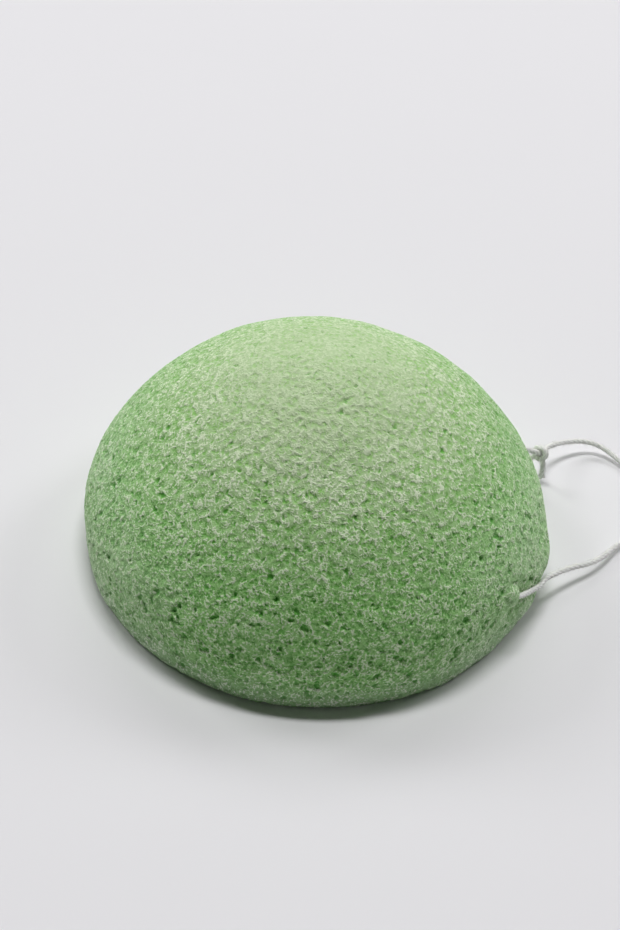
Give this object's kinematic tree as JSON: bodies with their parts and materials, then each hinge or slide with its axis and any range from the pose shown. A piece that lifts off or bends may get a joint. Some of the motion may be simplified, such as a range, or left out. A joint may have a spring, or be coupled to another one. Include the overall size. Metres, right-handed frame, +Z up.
{
  "type": "facial cleansing sponge",
  "caption": "Half-ball konjac sponge with a flat base and a thin cotton hanging loop threaded through its edge and closed with a knot beside the foam.",
  "frame": {"origin": "centre of the flat base", "axes": "+Z up through the crown; +X points from the sponge's middle at the side that the hanging loop comes out of; the knot is on the +Y side of the loop"},
  "size_m": [0.1018, 0.08, 0.041],
  "materials": {
    "konjac_foam": "matte, fine open pores",
    "cotton_string": "matte, twisted cotton"
  },
  "bodies": {
    "sponge": {"sponge_body": "konjac_foam", "threaded_run": "cotton_string"},
    "loop": {"hanging_loop": "cotton_string", "knot": "cotton_string", "hanging_tail": "cotton_string", "tucked_tail": "cotton_string"}
  },
  "joints": [
    {"name": "loop_swing", "type": "hinge", "parent": "sponge", "child": "loop", "pos_m": [0.036, 0.0184, 0.009], "axis": [-0.0342, -0.9991, 0.0263], "range_deg": [0, 90]}
  ]
}
